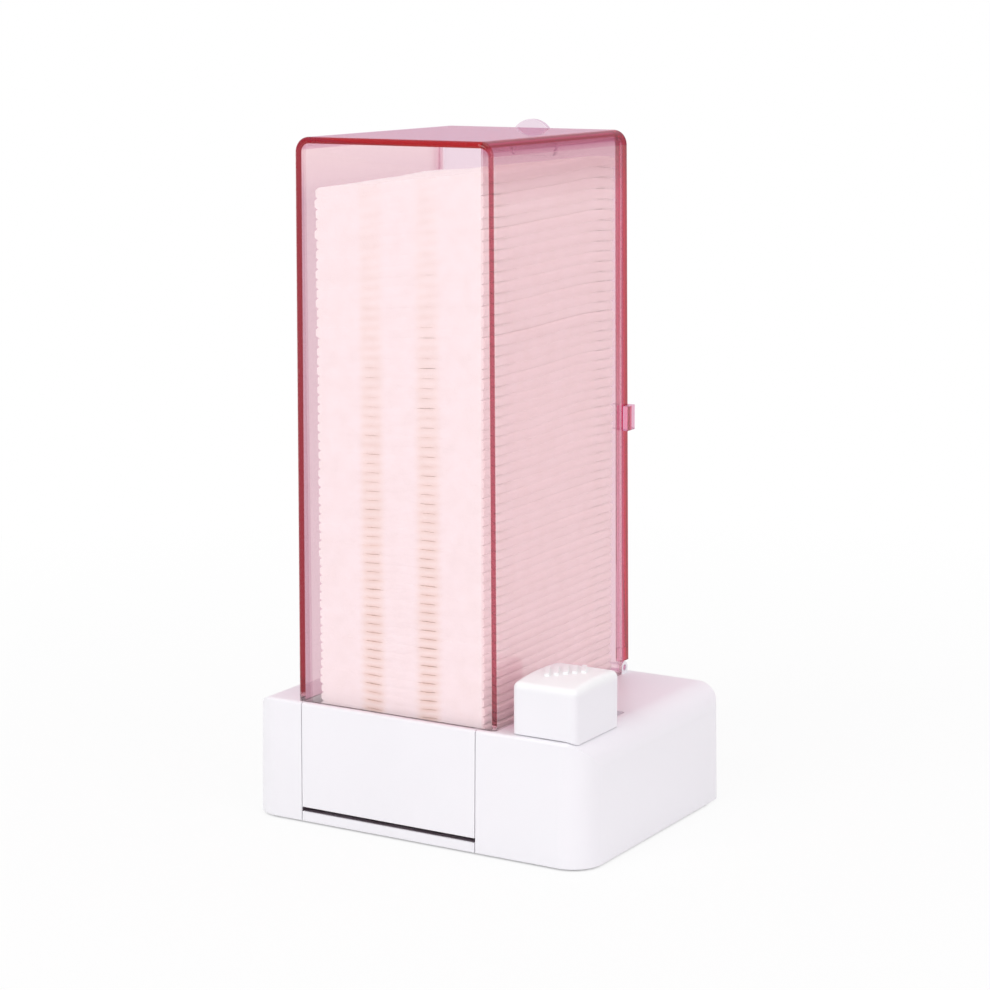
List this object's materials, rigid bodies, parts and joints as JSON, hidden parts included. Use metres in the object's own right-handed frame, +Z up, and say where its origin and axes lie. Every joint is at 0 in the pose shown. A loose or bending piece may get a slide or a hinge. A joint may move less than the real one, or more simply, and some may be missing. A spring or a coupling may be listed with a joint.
{
  "type": "cotton pad dispenser",
  "caption": "Countertop cotton pad dispenser: a tinted upright hopper with a hinged clear rear door on a white base, whose sliding button pushes the lowest pad out of a slot at the front.",
  "frame": {"origin": "middle of the base's footprint, on the plane that the rubber feet rest on", "axes": "+X to the object's right seen from the front (the button's side), +Y to the back (the door's side), +Z up"},
  "size_m": [0.124, 0.0906, 0.2204],
  "materials": {
    "white_plastic": "satin moulded white",
    "tinted_plastic": "clear, tinted rose red, polished",
    "clear_plastic": "clear, polished",
    "cotton": "pressed cotton",
    "rubber": "matte",
    "screw_steel": "zinc plated"
  },
  "bodies": {
    "base": {"base_housing": "white_plastic", "front_panel": "white_plastic", "bottom_tray": "white_plastic", "tray_screws": "screw_steel", "rubber_feet": "rubber", "hopper": "tinted_plastic", "cotton_pads": "cotton"},
    "slider": {"slider_button": "white_plastic", "slider_carriage": "white_plastic", "button_screw": "screw_steel", "pusher_plate": "white_plastic", "pusher_screws": "screw_steel"},
    "door": {"rear_door": "clear_plastic"}
  },
  "joints": [
    {"name": "button_slide", "type": "slide", "parent": "base", "child": "slider", "axis": [0, 1, 0], "range_m": [0, 0.024]},
    {"name": "rear_door_hinge", "type": "hinge", "parent": "base", "child": "door", "pos_m": [-0.0074, 0.0399, 0.0415], "axis": [-1, 0, 0], "range_deg": [0, 90]}
  ]
}
